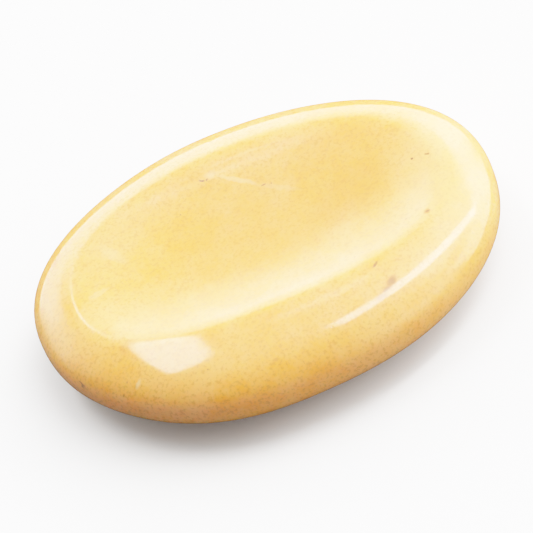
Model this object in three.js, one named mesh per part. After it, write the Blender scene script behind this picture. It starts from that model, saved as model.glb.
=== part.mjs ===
// Worry stone of yellow aventurine: one polished piece of quartzite, an oval pillow with a shallow
// thumb dish ground into its upper face and a small flat spot underneath to rest on.
// Millimetres, +Z up, X along the stone, Y across it, origin on the flat spot in the middle.
import * as THREE from "three";
import { ParametricGeometry } from "three/addons/geometries/ParametricGeometry.js";
import { mergeVertices } from "three/addons/utils/BufferGeometryUtils.js";

// Driving dimensions of the pillow
const halfLength = 22.2; // middle to end, before the outline's unevenness
const halfWidth = 17.0; // middle to side
const halfThickness = 5.05; // widest line to the top or bottom of the pillow, before anything is ground off
const outlineFullness = 2.25; // exponent of the oval seen from above: 2 is an ellipse, more is squarer
const sectionFullness = 2.5; // exponent of the pillow's section, in the same way
const restShare = 0.36; // the flat spot's outline as a share of the stone's own

// Unevenness of the hand-ground outline: waves around it, as shares of the distance from the middle
const outlineWaves = [
  { lobes: 3, cosine: 0.0025, sine: 0.0105 },
  { lobes: 4, cosine: 0.0105, sine: -0.0035 },
  { lobes: 5, cosine: -0.003, sine: 0.0065 },
  { lobes: 6, cosine: 0.003, sine: -0.001 },
];

// Driving dimensions of the thumb dish
const dishHalfLength = 18.2; // middle of the dish to its crest, along X
const dishHalfWidth = 10.6; // the same along Y
const dishFullness = 2.35; // exponent of the crest's oval
const dishShift = 0.8; // the dish was ground this far towards +Y
const dishDepth = 1.8; // crest at the side down to the floor of the dish
// Power of the bowl's section: 2 is an even hollow, more is flatter in the middle and steeper at the crest
const nearPower = 3; // on the side towards -Y
const farPower = 2.2; // on the side towards +Y
const crestBlend = 0.6; // height over which the polish rounds the crest off

// Facets
const segments = 96; // around the stone
const crestBand = 1.0; // half the width of the finely divided band along the crest
const rings = { flatSpot: 1, underside: 12, rim: 9, crest: 6, dish: 8 };
const seamTolerance = 1e-3; // vertices this close are one

// Reach of a superellipse in one direction: (cos/a)^n + (sin/b)^n, raised to the power -1/n.
function ovalReach(angle, alongX, alongY, fullness) {
  const x = Math.abs(Math.cos(angle) / alongX) ** fullness;
  const y = Math.abs(Math.sin(angle) / alongY) ** fullness;
  return (x + y) ** (-1 / fullness);
}

// Distance from the middle to the widest line.
function outlineReach(angle) {
  let uneven = 1;
  for (const { lobes, cosine, sine } of outlineWaves) {
    uneven += cosine * Math.cos(lobes * angle) + sine * Math.sin(lobes * angle);
  }
  return uneven * ovalReach(angle, halfLength, halfWidth, outlineFullness);
}

// How far the pillow's surface lies above or below the widest line, at a share of the way out to it.
function pillowRise(share) {
  return halfThickness * (1 - Math.min(share, 1) ** sectionFullness) ** (1 / sectionFullness);
}

const widestLineZ = pillowRise(restShare); // the flat spot is at height 0

// Height of the uncut pillow's upper face.
function pillowHeight(x, y) {
  return widestLineZ + pillowRise(Math.hypot(x, y) / outlineReach(Math.atan2(y, x)));
}

const dishFloorZ = pillowHeight(0, dishShift - dishHalfWidth) - dishDepth;

// Where the crest runs, seen from above, in a direction from the middle of the dish.
function crestPoint(angle) {
  const reach = ovalReach(angle, dishHalfLength, dishHalfWidth, dishFullness);
  return new THREE.Vector2(reach * Math.cos(angle), dishShift + reach * Math.sin(angle));
}

// Height of the dish's bowl: it grows with a power of the share of the way from its middle to the crest.
function bowlHeight(x, y) {
  const angle = Math.atan2(y - dishShift, x);
  const crest = crestPoint(angle);
  const share = Math.hypot(x, y - dishShift) / Math.hypot(crest.x, crest.y - dishShift);
  const power = THREE.MathUtils.lerp(nearPower, farPower, (1 + Math.sin(angle)) / 2);
  return dishFloorZ + (pillowHeight(crest.x, crest.y) - dishFloorZ) * share ** power;
}

// Height of the finished upper face: the lower of pillow and bowl, blended smoothly where they meet.
function upperHeight(x, y) {
  const pillow = pillowHeight(x, y);
  const bowl = bowlHeight(x, y);
  const mix = THREE.MathUtils.clamp(0.5 + (bowl - pillow) / (2 * crestBlend), 0, 1);
  return THREE.MathUtils.lerp(bowl, pillow, mix) - crestBlend * mix * (1 - mix);
}

// The surface in five zones, from the middle of the flat spot round the outside to the floor of the dish.
// Each takes the share of the way through the zone and the angle, and sets the point.
const zones = [
  {
    rings: rings.flatSpot,
    place(share, angle, point) {
      const reach = share * restShare * outlineReach(angle);
      point.set(reach * Math.cos(angle), reach * Math.sin(angle), 0);
    },
  },
  {
    // Steps of equal turn around the section keep the facets even where it bends.
    rings: rings.underside,
    place(share, angle, point) {
      const turn = THREE.MathUtils.lerp(Math.asin(restShare ** (sectionFullness / 2)), Math.PI / 2, share);
      const out = Math.sin(turn) ** (2 / sectionFullness);
      const reach = out * outlineReach(angle);
      point.set(reach * Math.cos(angle), reach * Math.sin(angle), widestLineZ - pillowRise(out));
    },
  },
  {
    rings: rings.rim,
    place(share, angle, point) {
      const rim = rimLine(angle);
      const bandShare = rim.crest.clone().addScaledVector(rim.outward, crestBand).length() / rim.reach;
      const turn = THREE.MathUtils.lerp(Math.PI / 2, Math.asin(bandShare ** (sectionFullness / 2)), share);
      const out = (Math.sin(turn) ** (2 / sectionFullness) - bandShare) / (1 - bandShare);
      placeOnTop(rim.crest, rim.outward, THREE.MathUtils.lerp(crestBand, rim.width, out), point);
    },
  },
  {
    rings: rings.crest,
    place(share, angle, point) {
      const { crest, outward, inward } = rimLine(angle);
      const past = THREE.MathUtils.lerp(crestBand, -crestBand, share);
      placeOnTop(crest, past > 0 ? outward : inward, Math.abs(past), point);
    },
  },
  {
    rings: rings.dish,
    place(share, angle, point) {
      const { crest, inward, bowlReach } = rimLine(angle);
      placeOnTop(crest, inward, THREE.MathUtils.lerp(crestBand, bowlReach, share), point);
    },
  },
];

// The line over the rim at one angle, seen from above: the crest, and the ways out and in from it.
function rimLine(angle) {
  const reach = outlineReach(angle);
  const crest = crestPoint(angle);
  const outward = new THREE.Vector2(reach * Math.cos(angle), reach * Math.sin(angle)).sub(crest);
  const inward = new THREE.Vector2(0, dishShift).sub(crest);
  const width = outward.length();
  const bowlReach = inward.length();
  return { reach, crest, outward: outward.normalize(), inward: inward.normalize(), width, bowlReach };
}

// A point of the upper face, a distance from a start along a direction seen from above.
function placeOnTop(start, direction, distance, point) {
  const x = start.x + direction.x * distance;
  const y = start.y + direction.y * distance;
  point.set(x, y, upperHeight(x, y));
}

const ringCount = zones.reduce((sum, zone) => sum + zone.rings, 0);

// The whole surface as one function of two parameters from 0 to 1: around, and from underside to dish.
function stoneSurface(around, along, point) {
  const angle = 2 * Math.PI * around;
  let ring = along * ringCount;
  for (const zone of zones) {
    if (ring <= zone.rings) {
      zone.place(ring / zone.rings, angle, point);
      return;
    }
    ring -= zone.rings;
  }
  point.set(0, dishShift, upperHeight(0, dishShift));
}

// Closes the seam and the two poles, and puts the middle of the outline's box over the origin.
function stoneGeometry() {
  const sheet = new ParametricGeometry(stoneSurface, segments, ringCount);
  sheet.deleteAttribute("normal");
  sheet.deleteAttribute("uv");
  const closed = mergeVertices(sheet, seamTolerance);
  closed.computeBoundingBox();
  const middle = closed.boundingBox.getCenter(new THREE.Vector3());
  closed.translate(-middle.x, -middle.y, 0);
  closed.computeVertexNormals();
  return closed;
}

const aventurine = new THREE.MeshStandardMaterial({ color: 0xf0cf84, roughness: 0.16, metalness: 0 });

const stone = new THREE.Mesh(stoneGeometry(), aventurine);
stone.name = "stone";

const worryStone = new THREE.Group();
worryStone.add(stone);

export default worryStone;
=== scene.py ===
import bpy
import numpy as np
from mathutils import Matrix, Vector


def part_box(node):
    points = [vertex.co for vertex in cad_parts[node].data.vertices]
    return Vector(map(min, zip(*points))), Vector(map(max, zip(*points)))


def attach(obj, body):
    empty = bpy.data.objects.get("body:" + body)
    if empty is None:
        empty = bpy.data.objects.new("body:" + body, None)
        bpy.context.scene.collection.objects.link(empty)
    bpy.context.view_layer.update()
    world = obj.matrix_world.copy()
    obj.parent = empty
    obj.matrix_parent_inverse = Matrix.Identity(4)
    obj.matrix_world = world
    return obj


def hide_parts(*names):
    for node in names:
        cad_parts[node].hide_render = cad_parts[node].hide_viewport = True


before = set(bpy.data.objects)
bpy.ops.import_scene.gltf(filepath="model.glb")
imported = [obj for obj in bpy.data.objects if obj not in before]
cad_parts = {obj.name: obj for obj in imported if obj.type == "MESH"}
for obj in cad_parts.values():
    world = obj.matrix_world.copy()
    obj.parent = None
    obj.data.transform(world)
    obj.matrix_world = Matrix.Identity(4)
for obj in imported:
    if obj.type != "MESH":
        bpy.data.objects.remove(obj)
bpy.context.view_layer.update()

mm = 0.001

# The stone is an oval pillow with a thumb dish ground into its upper face.
stoneShape = {
    "halfLength": 22.2 * mm,  # middle to end, before the outline's unevenness
    "halfWidth": 17.0 * mm,  # middle to side
    "halfThickness": 5.05 * mm,  # widest line to the top or bottom of the uncut pillow
    "outlineFullness": 2.25,  # exponent of the oval: 2 is an ellipse, more is squarer
    "sectionFullness": 2.5,  # the same for the pillow's section
    "outlineWaves": (  # how many round the stone, cosine part, sine part
        (3, 0.0025, 0.0105),
        (4, 0.0105, -0.0035),
        (5, -0.003, 0.0065),
        (6, 0.003, -0.001),
    ),
    "restShare": 0.36,  # the flat spot's outline as a share of the stone's own
    "flatRingShare": 0.5,  # a ring on the flat spot, as a share of its outline
    "dishHalfLength": 18.2 * mm,  # middle of the dish to its crest
    "dishHalfWidth": 10.6 * mm,
    "dishFullness": 2.35,
    "dishShift": 0.8 * mm,  # towards +Y
    "dishDepth": 1.8 * mm,
    "nearPower": 3,  # 2 is an even hollow, more is flatter in the middle and steeper at the crest
    "farPower": 2.2,
    "crestBlend": 0.6 * mm,  # height over which the polish rounds the crest off
    "columns": 384,  # around the stone
    "undersideRows": 60,
    "upperRows": 140,
}


def ovalReach(angle, alongX, alongY, fullness):
    # reach of a superellipse: (|cos / a|^n + |sin / b|^n) ^ (-1 / n)
    x = np.abs(np.cos(angle) / alongX) ** fullness
    y = np.abs(np.sin(angle) / alongY) ** fullness
    return (x + y) ** (-1 / fullness)


def outlineReach(angle, s):
    # the oval's reach times 1 plus a few low waves around it
    uneven = 1 + sum(c * np.cos(k * angle) + d * np.sin(k * angle) for k, c, d in s["outlineWaves"])
    return uneven * ovalReach(angle, s["halfLength"], s["halfWidth"], s["outlineFullness"])


def pillowRise(share, s):
    # half thickness times (1 - share^m) ^ (1 / m), share being the part of the way out to the widest line
    m = s["sectionFullness"]
    return s["halfThickness"] * np.maximum(1 - np.minimum(share, 1) ** m, 0) ** (1 / m)


def pillowHeight(x, y, s):
    # height of the uncut pillow: the widest line's height plus the rise above it
    share = np.hypot(x, y) / outlineReach(np.arctan2(y, x), s)
    return pillowRise(s["restShare"], s) + pillowRise(share, s)


def upperHeight(x, y, s):
    # the lower of pillow and bowl, blended smoothly where they meet; the bowl grows with a power of the
    # share of the way from the dish's middle to its crest
    angle = np.arctan2(y - s["dishShift"], x)
    reach = ovalReach(angle, s["dishHalfLength"], s["dishHalfWidth"], s["dishFullness"])
    crestHeight = pillowHeight(reach * np.cos(angle), s["dishShift"] + reach * np.sin(angle), s)
    floorHeight = pillowHeight(0.0, s["dishShift"] - s["dishHalfWidth"], s) - s["dishDepth"]
    share = np.hypot(x, y - s["dishShift"]) / reach
    power = s["nearPower"] + (s["farPower"] - s["nearPower"]) * (1 + np.sin(angle)) / 2
    bowl = floorHeight + (crestHeight - floorHeight) * share**power
    pillow = pillowHeight(x, y, s)
    mix = np.clip(0.5 + (bowl - pillow) / (2 * s["crestBlend"]), 0, 1)
    return bowl + (pillow - bowl) * mix - s["crestBlend"] * mix * (1 - mix)


def stonePoints(s):
    # rings at shares of the way out from the middle, underside first; equal turns of the section between
    # rings keep the faces even where it bends: share = sin(turn) ^ (2 / m)
    angle = np.linspace(0, 2 * np.pi, s["columns"], endpoint=False)
    reach = outlineReach(angle, s)
    m = s["sectionFullness"]
    lowTurn = np.linspace(np.arcsin(s["restShare"] ** (m / 2)), np.pi / 2, s["undersideRows"])
    lowShare = np.concatenate([[s["restShare"] * s["flatRingShare"]], np.sin(lowTurn) ** (2 / m)])
    lowHeight = pillowRise(s["restShare"], s) - pillowRise(lowShare, s)
    lowHeight[0] = 0
    highTurn = np.linspace(np.pi / 2, 0, s["upperRows"] + 2)[1:-1]
    share = np.concatenate([lowShare, np.sin(highTurn) ** (2 / m)])[:, None]
    x = share * reach * np.cos(angle)
    y = share * reach * np.sin(angle)
    z = upperHeight(x, y, s)
    z[: len(lowHeight)] = lowHeight[:, None]
    return x, y, z


def stoneMesh(s):
    # the rings joined by quads, with a fan of triangles at each pole, set exactly into the solid's box
    x, y, z = stonePoints(s)
    rows, columns = x.shape
    grid = np.stack([x, y, z], axis=-1).reshape(-1, 3)
    topMiddle = float(upperHeight(0.0, 0.0, s))
    points = np.concatenate([grid, [[0, 0, 0], [0, 0, topMiddle]]])
    low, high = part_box("stone")
    size = points.max(0) - points.min(0)
    middle = (points.max(0) + points.min(0)) / 2
    points = (points - middle) / size * np.array(high - low) + np.array(high + low) / 2
    index = np.arange(rows * columns).reshape(rows, columns)
    right = np.roll(index, -1, axis=1)
    quads = np.stack([index[:-1], right[:-1], right[1:], index[1:]], axis=-1).reshape(-1, 4)
    bottom = np.full(columns, rows * columns)
    base = np.stack([bottom, right[0], index[0]], axis=-1)
    top = np.stack([bottom + 1, index[-1], right[-1]], axis=-1)
    mesh = bpy.data.meshes.new("wornStone")
    mesh.from_pydata(points.tolist(), [], quads.tolist() + base.tolist() + top.tolist())
    mesh.polygons.foreach_set("use_smooth", np.ones(len(mesh.polygons), dtype=bool))
    mesh.update()
    return mesh


# Noise scales are per metre. low and high are where a layer's noise starts and reaches its full weight.
stoneLook = {
    "honey": (0.92, 0.395, 0.060, 1),
    "cream": (0.94, 0.487, 0.160, 1),
    "veinPale": (0.92, 0.64, 0.33, 1),
    "rust": (0.62, 0.27, 0.07, 1),
    "freckle": (0.54, 0.25, 0.05, 1),
    "speck": (0.16, 0.10, 0.05, 1),
    "cloud": {"scale": 120, "detail": 5, "low": 0.36, "high": 0.66, "weight": 0.5},
    "mottle": {"scale": 620, "detail": 4, "low": 0.38, "high": 0.62, "weight": 0.20},
    "grain": {"scale": 3000, "detail": 3, "low": 0.35, "high": 0.65, "weight": 0.2},
    "freckles": {"scale": 3400, "detail": 2, "low": 0.48, "high": 0.68, "weight": 0.5},
    "wander": {"scale": 1400, "detail": 2, "reach": 0.25 * mm},  # unevenness of the marks' edges
    "strays": {"scale": 330, "chance": 0.10, "radius": 0.055, "edge": 0.4},  # small specks anywhere
    "strayShare": 0.6,
    "translucency": 1.0,
    "depth": (3.5 * mm, 2.2 * mm, 0.9 * mm),  # how far red, green and blue light travel in the stone
    "ior": 1.54,
    "polish": (0.045, 0.10),  # roughness where best and least polished
    "polishPatches": {"scale": 260, "detail": 4, "low": 0.3, "high": 0.75},
    "waves": {"scale": 190, "detail": 1, "height": 0.010 * mm},
    "ripple": {"scale": 900, "detail": 2, "height": 0.0007 * mm},
    "pits": {"scale": 700, "chance": 0.16, "radius": 0.09, "edge": 0.4},
    "pitDepth": 0.012 * mm,
}

# Marks in the upper face: where (mm), turn about Z (degrees), half length and width (mm), and how strong.
stoneMarks = {
    "pale": (
        {"at": (0.2, 7.9), "turn": -38, "half": (2.3, 0.3), "share": 0.5},
        {"at": (3.4, 5.4), "turn": -36, "half": (2.8, 0.35), "share": 0.25},
        {"at": (-2.0, 9.6), "turn": 0, "half": (0.7, 0.5), "share": 0.35},
        {"at": (-13.3, 5.1), "turn": -58, "half": (2.6, 0.8), "share": 0.3},
        {"at": (-15.7, 0.9), "turn": 20, "half": (1.4, 0.5), "share": 0.35},
        {"at": (-15.2, -11.0), "turn": 30, "half": (0.5, 0.25), "share": 0.7},
        {"at": (19.0, -1.0), "turn": 80, "half": (12.0, 6.5), "share": 0.25},
        {"at": (-14.0, 5.5), "turn": 60, "half": (10.0, 6.0), "share": 0.10},
    ),
    "rust": (
        {"at": (9.6, -12.0), "turn": 40, "half": (0.9, 0.5), "share": 0.75},
        {"at": (8.9, -12.6), "turn": 30, "half": (0.9, 0.5), "share": 0.60},
        {"at": (8.2, -13.2), "turn": 10, "half": (0.9, 0.45), "share": 0.45},
        {"at": (-7.1, -4.1), "turn": 15, "half": (1.1, 0.6), "share": 0.22},
        {"at": (-2.8, -7.2), "turn": 0, "half": (0.7, 0.4), "share": 0.25},
        {"at": (-14.8, -7.1), "turn": 25, "half": (1.3, 0.7), "share": 0.30},
        {"at": (15.1, -5.6), "turn": 70, "half": (0.45, 0.36), "share": 1.0},
        {"at": (-18.5, 7.4), "turn": 60, "half": (0.8, 0.3), "share": 0.5},
        {"at": (2.5, 2.0), "turn": 12, "half": (15.0, 7.5), "share": 0.28},
        {"at": (8.5, 1.0), "turn": 25, "half": (8.0, 4.5), "share": 0.40},
    ),
    "dark": (
        {"at": (-3.0, 9.4), "turn": -20, "half": (0.36, 0.12), "share": 0.9},
        {"at": (-2.55, 9.25), "turn": 50, "half": (0.2, 0.09), "share": 0.8},
        {"at": (2.2, 6.3), "turn": 10, "half": (0.24, 0.1), "share": 0.8},
        {"at": (2.9, 6.1), "turn": 60, "half": (0.14, 0.08), "share": 0.7},
        {"at": (15.9, 1.8), "turn": 30, "half": (0.17, 0.12), "share": 0.95},
        {"at": (17.3, 1.6), "turn": -10, "half": (0.22, 0.12), "share": 0.8},
        {"at": (13.1, -5.4), "turn": 0, "half": (0.13, 0.1), "share": 0.75},
        {"at": (15.1, -5.6), "turn": 0, "half": (0.18, 0.14), "share": 0.8},
        {"at": (-6.0, 6.7), "turn": 0, "half": (0.13, 0.1), "share": 0.7},
        {"at": (8.8, -9.9), "turn": 25, "half": (0.6, 0.13), "share": 0.7},
        {"at": (9.6, -12.0), "turn": 40, "half": (0.65, 0.4), "share": 0.45},
        {"at": (8.9, -12.6), "turn": 30, "half": (0.6, 0.3), "share": 0.4},
        {"at": (8.2, -13.2), "turn": 10, "half": (0.6, 0.3), "share": 0.25},
        {"at": (-20.1, -6.9), "turn": -75, "half": (0.55, 0.1), "share": 0.8},
        {"at": (-16.8, -10.7), "turn": 0, "half": (0.14, 0.1), "share": 0.8},
        {"at": (-16.1, -10.2), "turn": 40, "half": (0.1, 0.08), "share": 0.7},
        {"at": (-8.8, -13.3), "turn": 20, "half": (0.15, 0.1), "share": 0.75},
    ),
    "level": 9 * mm,  # height of every mark's middle
    "halfHeight": 6 * mm,  # deep enough for the mark to reach the surface wherever it lies
    "fade": (0.35, 1.15),  # where a mark starts to fade and is gone, as shares of its half size
}


def mathNode(tree, operation, *values):
    node = tree.nodes.new("ShaderNodeMath")
    node.operation = operation
    for socket, value in zip(node.inputs, values):
        if isinstance(value, bpy.types.NodeSocket):
            tree.links.new(value, socket)
        else:
            socket.default_value = value
    return node.outputs[0]


def rangeNode(tree, value, low, high, start=0.0, end=1.0):
    # a soft step: start below low, end above high
    node = tree.nodes.new("ShaderNodeMapRange")
    node.interpolation_type = "SMOOTHSTEP"
    tree.links.new(value, node.inputs["Value"])
    for name, number in (("From Min", low), ("From Max", high), ("To Min", start), ("To Max", end)):
        node.inputs[name].default_value = number
    return node.outputs["Result"]


def noiseNode(tree, place, n, output="Fac"):
    node = tree.nodes.new("ShaderNodeTexNoise")
    tree.links.new(place, node.inputs["Vector"])
    node.inputs["Scale"].default_value = n["scale"]
    node.inputs["Detail"].default_value = n["detail"]
    return node.outputs[output]


def layer(tree, place, n):
    share = rangeNode(tree, noiseNode(tree, place, n), n["low"], n["high"])
    return mathNode(tree, "MULTIPLY", share, n["weight"])


def relief(tree, place, n):
    return mathNode(tree, "MULTIPLY", noiseNode(tree, place, n), n["height"])


def marks(tree, place, group, m):
    # each mark has its full share inside an ellipse and fades to 0 at its edge; the strongest one counts
    total = None
    for mark in group:
        local = tree.nodes.new("ShaderNodeMapping")
        local.vector_type = "TEXTURE"
        tree.links.new(place, local.inputs["Vector"])
        local.inputs["Location"].default_value = (mark["at"][0] * mm, mark["at"][1] * mm, m["level"])
        local.inputs["Rotation"].default_value = (0, 0, np.radians(mark["turn"]))
        local.inputs["Scale"].default_value = (mark["half"][0] * mm, mark["half"][1] * mm, m["halfHeight"])
        length = tree.nodes.new("ShaderNodeVectorMath")
        length.operation = "LENGTH"
        tree.links.new(local.outputs["Vector"], length.inputs[0])
        share = rangeNode(tree, length.outputs["Value"], *m["fade"], mark["share"], 0.0)
        total = share if total is None else mathNode(tree, "MAXIMUM", total, share)
    return total


def scattered(tree, place, n):
    # cells of space, 1 / scale wide; a few hold a round dot in the middle, its radius a share of the cell
    cells = tree.nodes.new("ShaderNodeTexVoronoi")
    tree.links.new(place, cells.inputs["Vector"])
    cells.inputs["Scale"].default_value = n["scale"]
    parts = tree.nodes.new("ShaderNodeSeparateColor")
    tree.links.new(cells.outputs["Color"], parts.inputs["Color"])
    chosen = mathNode(tree, "LESS_THAN", parts.outputs["Red"], n["chance"])
    inner = n["radius"] * (1 - n["edge"])
    outer = n["radius"] * (1 + n["edge"])
    dot = rangeNode(tree, cells.outputs["Distance"], inner, outer, 1.0, 0.0)
    return mathNode(tree, "MULTIPLY", chosen, dot)


def mixColour(tree, share, under, over):
    node = tree.nodes.new("ShaderNodeMix")
    node.data_type = "RGBA"
    tree.links.new(share, node.inputs["Factor"])
    for socket, value in ((node.inputs["A"], under), (node.inputs["B"], over)):
        if isinstance(value, bpy.types.NodeSocket):
            tree.links.new(value, socket)
        else:
            socket.default_value = value
    return node.outputs["Result"]


def wanderingPlace(tree, place, n):
    # the place plus (noise - 0.5) * 2 * reach in each direction
    moved = tree.nodes.new("ShaderNodeVectorMath")
    moved.operation = "MULTIPLY_ADD"
    tree.links.new(noiseNode(tree, place, n, "Color"), moved.inputs[0])
    moved.inputs[1].default_value = (2 * n["reach"],) * 3
    moved.inputs[2].default_value = (-n["reach"],) * 3
    total = tree.nodes.new("ShaderNodeVectorMath")
    tree.links.new(place, total.inputs[0])
    tree.links.new(moved.outputs["Vector"], total.inputs[1])
    return total.outputs["Vector"]


def stoneColour(tree, place, look, m):
    # clouds, mottling and the quartz grain between honey and cream, then freckles, veins, rust and specks
    paleness = mathNode(tree, "ADD", layer(tree, place, look["cloud"]), layer(tree, place, look["mottle"]))
    paleness = mathNode(tree, "ADD", paleness, layer(tree, place, look["grain"]))
    colour = mixColour(tree, paleness, look["honey"], look["cream"])
    colour = mixColour(tree, layer(tree, place, look["freckles"]), colour, look["freckle"])
    unevenPlace = wanderingPlace(tree, place, look["wander"])
    colour = mixColour(tree, marks(tree, unevenPlace, m["pale"], m), colour, look["veinPale"])
    colour = mixColour(tree, marks(tree, unevenPlace, m["rust"], m), colour, look["rust"])
    stray = mathNode(tree, "MULTIPLY", scattered(tree, unevenPlace, look["strays"]), look["strayShare"])
    dark = mathNode(tree, "MAXIMUM", marks(tree, unevenPlace, m["dark"], m), stray)
    return mixColour(tree, dark, colour, look["speck"])


def stoneRelief(tree, place, look):
    # the polish is very slightly wavy, with tiny pits; heights are real ones, in metres
    pits = mathNode(tree, "MULTIPLY", scattered(tree, place, look["pits"]), -look["pitDepth"])
    wavy = mathNode(tree, "ADD", relief(tree, place, look["waves"]), relief(tree, place, look["ripple"]))
    bump = tree.nodes.new("ShaderNodeBump")
    bump.inputs["Strength"].default_value = 1.0
    bump.inputs["Distance"].default_value = 1.0
    tree.links.new(mathNode(tree, "ADD", wavy, pits), bump.inputs["Height"])
    return bump.outputs["Normal"]


def stoneMaterial(look, m):
    material = bpy.data.materials.new("aventurine")
    material.use_nodes = True
    tree = material.node_tree
    shader = tree.nodes["Principled BSDF"]
    place = tree.nodes.new("ShaderNodeTexCoord").outputs["Object"]
    tree.links.new(stoneColour(tree, place, look, m), shader.inputs["Base Color"])
    n = look["polishPatches"]
    duller = rangeNode(tree, noiseNode(tree, place, n), n["low"], n["high"], *look["polish"])
    tree.links.new(duller, shader.inputs["Roughness"])
    tree.links.new(stoneRelief(tree, place, look), shader.inputs["Normal"])
    shader.inputs["Subsurface Weight"].default_value = look["translucency"]
    shader.inputs["Subsurface Radius"].default_value = look["depth"]
    shader.inputs["Subsurface Scale"].default_value = 1.0  # so that the depth is in metres
    shader.inputs["IOR"].default_value = look["ior"]
    return material


stonePiece = bpy.data.objects.new("polishedStone", stoneMesh(stoneShape))
bpy.context.scene.collection.objects.link(stonePiece)
stonePiece.data.materials.append(stoneMaterial(stoneLook, stoneMarks))
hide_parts("stone")
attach(stonePiece, "root")
print("stone made,", len(stonePiece.data.polygons), "faces")


cameraPlace = {
    "target": Vector((-0.39, -0.455, 4.545)) * mm,
    "elevation": 45,  # degrees above the floor, looking along +Y
    "roll": 22.1,  # degrees
    "distance": 400 * mm,
    "lens": 290.9,
    "nearest": 10 * mm,
}


def makeCamera(c):
    elevation = np.radians(c["elevation"])
    roll = np.radians(c["roll"])
    back = Vector((0, -np.cos(elevation), np.sin(elevation)))
    right = Vector((1, 0, 0))
    up = back.cross(right)
    turnedRight = np.cos(roll) * right - np.sin(roll) * up
    turnedUp = np.sin(roll) * right + np.cos(roll) * up
    camera = bpy.data.objects.new("camera", bpy.data.cameras.new("camera"))
    camera.data.lens = c["lens"]
    camera.data.clip_start = c["nearest"]
    camera.matrix_world = Matrix.LocRotScale(
        c["target"] + back * c["distance"],
        Matrix((turnedRight, turnedUp, back)).transposed(),
        None,
    )
    bpy.context.scene.collection.objects.link(camera)
    bpy.context.scene.camera = camera


makeCamera(cameraPlace)
print("camera placed")


stageLook = {
    "floorReach": 3.0,
    "floorSeen": (0.92, 0.92, 0.92, 1),  # what the camera sees
    "floorShadeFront": 0.20,  # painted shade: the floor as the stone sees it on the camera's side, far darker than the camera sees it
    # painted shade: the floor behind the stone as the stone sees it, also kept dark
    "floorShadeBehind": 0.08,
    "floorTurn": (-18 * mm, 12 * mm),  # the change from one to the other, along Y
    "floorRoughness": 0.9,
    "backdrop": 4.0,  # what the camera sees past the floor
}


def makeFloor(s):
    mesh = bpy.data.meshes.new("floor")
    r = s["floorReach"]
    mesh.from_pydata([(-r, -r, 0), (r, -r, 0), (r, r, 0), (-r, r, 0)], [], [(0, 1, 2, 3)])
    floor = bpy.data.objects.new("floor", mesh)
    bpy.context.scene.collection.objects.link(floor)
    material = bpy.data.materials.new("paleFloor")
    material.use_nodes = True
    tree = material.node_tree
    shader = tree.nodes["Principled BSDF"]
    parts = tree.nodes.new("ShaderNodeSeparateXYZ")
    tree.links.new(tree.nodes.new("ShaderNodeTexCoord").outputs["Object"], parts.inputs["Vector"])
    # painted shade: for every ray but the camera's the floor is dark, so the stone's underside and bottom
    # edge get little light back from it
    unseenShade = rangeNode(tree, parts.outputs["Y"], *s["floorTurn"], s["floorShadeFront"], s["floorShadeBehind"])
    seen = tree.nodes.new("ShaderNodeLightPath").outputs["Is Camera Ray"]
    tree.links.new(mixColour(tree, seen, unseenShade, s["floorSeen"]), shader.inputs["Base Color"])
    shader.inputs["Roughness"].default_value = s["floorRoughness"]
    mesh.materials.append(material)


makeFloor(stageLook)
print("floor laid")


# Soft light by direction from the stone, in degrees: azimuth, 0 away from the camera and 90 to the right,
# and elevation. A panel is an oblong with soft edges, a glow a round haze, and a patch an outline.
studioLight = {
    "panels": (
        {"at": (0, 10), "along": (90, 0), "half": (40, 23), "edge": 18, "strength": 6.1},
        {"at": (78, 18), "along": (168, 0), "half": (30, 20), "edge": 14, "strength": 7.7},
        {"at": (74, 60), "along": (66, 14), "half": (26, 3.5), "edge": 3, "strength": 15.0},
        {"at": (14, 70), "along": (90, 0), "half": (5.5, 1.5), "edge": 2.5, "strength": 4.0},
    ),
    "glows": (
        {"at": (45, 28), "spread": 18, "strength": 4.0},
        {"at": (-10, 36), "spread": 7, "strength": 5.0},
        {"at": (12, 38), "spread": 7, "strength": 3.0},
        {"at": (76, 57), "spread": 19, "strength": 9.5},
        {"at": (0, 62), "spread": 16, "strength": 2.2},
        {"at": (0, 90), "spread": 18, "strength": 2.5},
        {"at": (-52, 22), "spread": 20, "strength": 4.2},
        {"at": (130, 25), "spread": 28, "strength": 4.5},
    ),
    "patches": (  # a window in two parts, each with its corners in order
        {"corners": ((-38, 71), (-10, 42), (-43, 56)), "edge": 2.5, "strength": 15.0},
        {
            "corners": ((-38, 71), (-43, 56), (-65, 61), (-85, 63), (-70, 69), (-59, 73)),
            "edge": 2.5,
            "strength": 15.0,
        },
    ),
}


def aim(azimuth, elevation):
    a, e = np.radians(azimuth), np.radians(elevation)
    return Vector((np.cos(e) * np.sin(a), np.cos(e) * np.cos(a), np.sin(e)))


def towards(tree, direction, axis):
    # cosine of the angle between a direction and an axis
    node = tree.nodes.new("ShaderNodeVectorMath")
    node.operation = "DOT_PRODUCT"
    tree.links.new(direction, node.inputs[0])
    node.inputs[1].default_value = axis
    return node.outputs["Value"]


def fadeOut(tree, value, half, edge):
    return rangeNode(tree, value, np.radians(half - edge / 2), np.radians(half + edge / 2), 1.0, 0.0)


def panelLight(tree, direction, p):
    # angles along and across the panel, each faded out past its half size; nothing behind it
    forward = aim(*p["at"])
    along = aim(*p["along"])
    along = (along - forward * along.dot(forward)).normalized()
    across = forward.cross(along)
    ahead = towards(tree, direction, forward)
    lengthAngle = mathNode(tree, "ARCTAN2", towards(tree, direction, along), ahead)
    widthAngle = mathNode(tree, "ARCSINE", towards(tree, direction, across))
    lengthShare = fadeOut(tree, mathNode(tree, "ABSOLUTE", lengthAngle), p["half"][0], p["edge"])
    widthShare = fadeOut(tree, mathNode(tree, "ABSOLUTE", widthAngle), p["half"][1], p["edge"])
    return mathNode(tree, "MULTIPLY", mathNode(tree, "MULTIPLY", lengthShare, widthShare), p["strength"])


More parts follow.
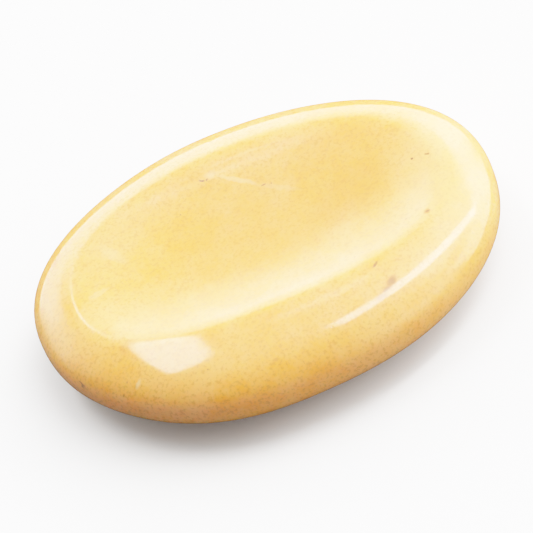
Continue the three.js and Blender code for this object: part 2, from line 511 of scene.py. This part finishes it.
def glowLight(tree, direction, g):
    # strength times exp(-(angle / spread) ^ 2)
    angle = mathNode(tree, "ARCCOSINE", towards(tree, direction, aim(*g["at"])))
    share = mathNode(tree, "DIVIDE", angle, float(np.radians(g["spread"])))
    fall = mathNode(tree, "MULTIPLY", mathNode(tree, "MULTIPLY", share, share), -1.0)
    return mathNode(tree, "MULTIPLY", mathNode(tree, "EXPONENT", fall), g["strength"])


def patchLight(tree, direction, p):
    # inside every side of the outline, each side a plane through the stone; the sides are softened
    corners = [aim(*corner) for corner in p["corners"]]
    middle = sum(corners, Vector()).normalized()
    edge = np.radians(p["edge"]) / 2
    share = p["strength"]
    for corner, following in zip(corners, corners[1:] + corners[:1]):
        side = corner.cross(following).normalized()
        if side.dot(middle) < 0:
            side = -side
        inside = rangeNode(tree, towards(tree, direction, side), -edge, edge)
        share = mathNode(tree, "MULTIPLY", inside, share)
    return share


def makeStudio(light, s):
    world = bpy.data.worlds.new("studio")
    world.use_nodes = True
    tree = world.node_tree
    direction = tree.nodes.new("ShaderNodeTexCoord").outputs["Generated"]
    total = 0.0
    for group, makeLight in (("panels", panelLight), ("glows", glowLight), ("patches", patchLight)):
        for one in light[group]:
            total = mathNode(tree, "ADD", makeLight(tree, direction, one), total)
    seen = tree.nodes.new("ShaderNodeMix")
    tree.links.new(tree.nodes.new("ShaderNodeLightPath").outputs["Is Camera Ray"], seen.inputs["Factor"])
    tree.links.new(total, seen.inputs["A"])
    seen.inputs["B"].default_value = s["backdrop"]
    background = tree.nodes["Background"]
    background.inputs["Color"].default_value = (1, 1, 1, 1)
    tree.links.new(seen.outputs["Result"], background.inputs["Strength"])
    bpy.context.scene.world = world


makeStudio(studioLight, stageLook)
print("studio lit")


# Film response: bright parts bleach slowly instead of clipping, as in the photograph.
filmLook = {
    "whiteAt": 6.0,
    "steps": (0, 0.05, 0.12, 0.22, 0.36, 0.6, 1.0),  # where the curve has its points, as shares of white
}


def setFilm(f):
    # shown = (1 - exp(-light)) / (1 - exp(-whiteAt))
    view = bpy.context.scene.view_settings
    view.view_transform = "Standard"
    view.use_curve_mapping = True
    mapping = view.curve_mapping
    mapping.white_level = (f["whiteAt"],) * 3
    combined = 3  # the curve after the three colours' own
    curve = mapping.curves[combined]
    steps = np.array(f["steps"])
    shown = np.expm1(-steps * f["whiteAt"]) / np.expm1(-f["whiteAt"])
    while len(curve.points) < len(steps):
        curve.points.new(0.5, 0.5)  # placed below
    for point, step, level in zip(curve.points, steps, shown):
        point.location = (step, level)
    mapping.update()


setFilm(filmLook)
print("film set")
